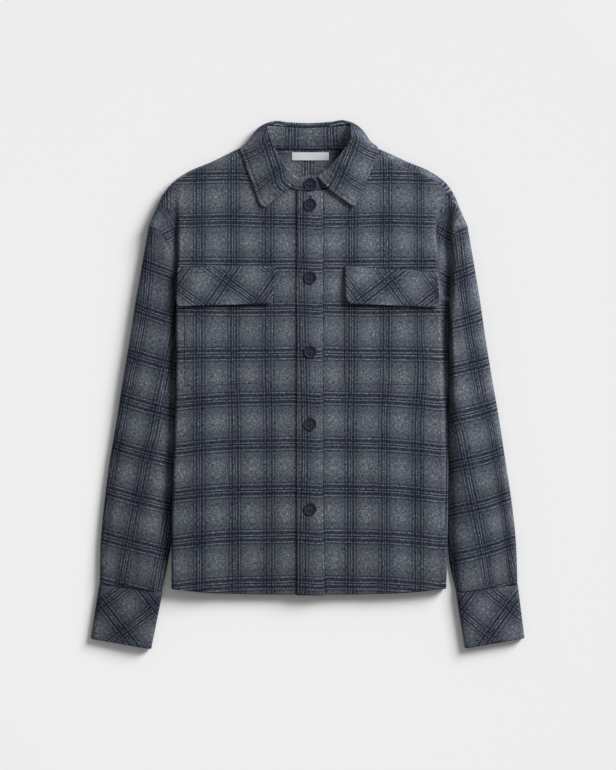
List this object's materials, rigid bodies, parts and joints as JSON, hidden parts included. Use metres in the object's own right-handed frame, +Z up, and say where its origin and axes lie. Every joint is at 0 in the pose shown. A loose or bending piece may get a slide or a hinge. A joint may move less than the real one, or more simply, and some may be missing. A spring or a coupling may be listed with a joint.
{
  "type": "shacket",
  "caption": "Plaid flannel overshirt laid flat on its back, buttoned front, pointed collar, flapped chest pockets, long cuffed sleeves.",
  "frame": {"origin": "middle of the bounding box, on the surface that the garment lies on", "axes": "+X to the viewer's right, which is the wearer's left, +Y from the hem to the collar, +Z up from the surface to the viewer"},
  "size_m": [0.608, 0.7402, 0.0237],
  "materials": {
    "plaid_flannel": "brushed cotton flannel, navy and grey plaid, woven on the straight grain",
    "bias_flannel": "the same brushed flannel cut on the bias, two layers",
    "navy_button": "moulded polyester button, dark navy, satin gloss",
    "white_satin": "plain white woven satin label, blank"
  },
  "bodies": {
    "root": {"back": "plaid_flannel", "yoke": "plaid_flannel", "front_right": "plaid_flannel", "front_left": "plaid_flannel", "placket": "plaid_flannel", "collar_stand": "plaid_flannel", "collar": "plaid_flannel", "sleeve_right": "plaid_flannel", "sleeve_left": "plaid_flannel", "pocket_right": "plaid_flannel", "pocket_left": "plaid_flannel", "cuff_right": "bias_flannel", "cuff_left": "bias_flannel", "flap_right": "bias_flannel", "flap_left": "bias_flannel", "label": "white_satin", "button_1": "navy_button", "button_2": "navy_button", "button_3": "navy_button", "button_4": "navy_button", "button_5": "navy_button", "button_6": "navy_button"}
  },
  "joints": []
}
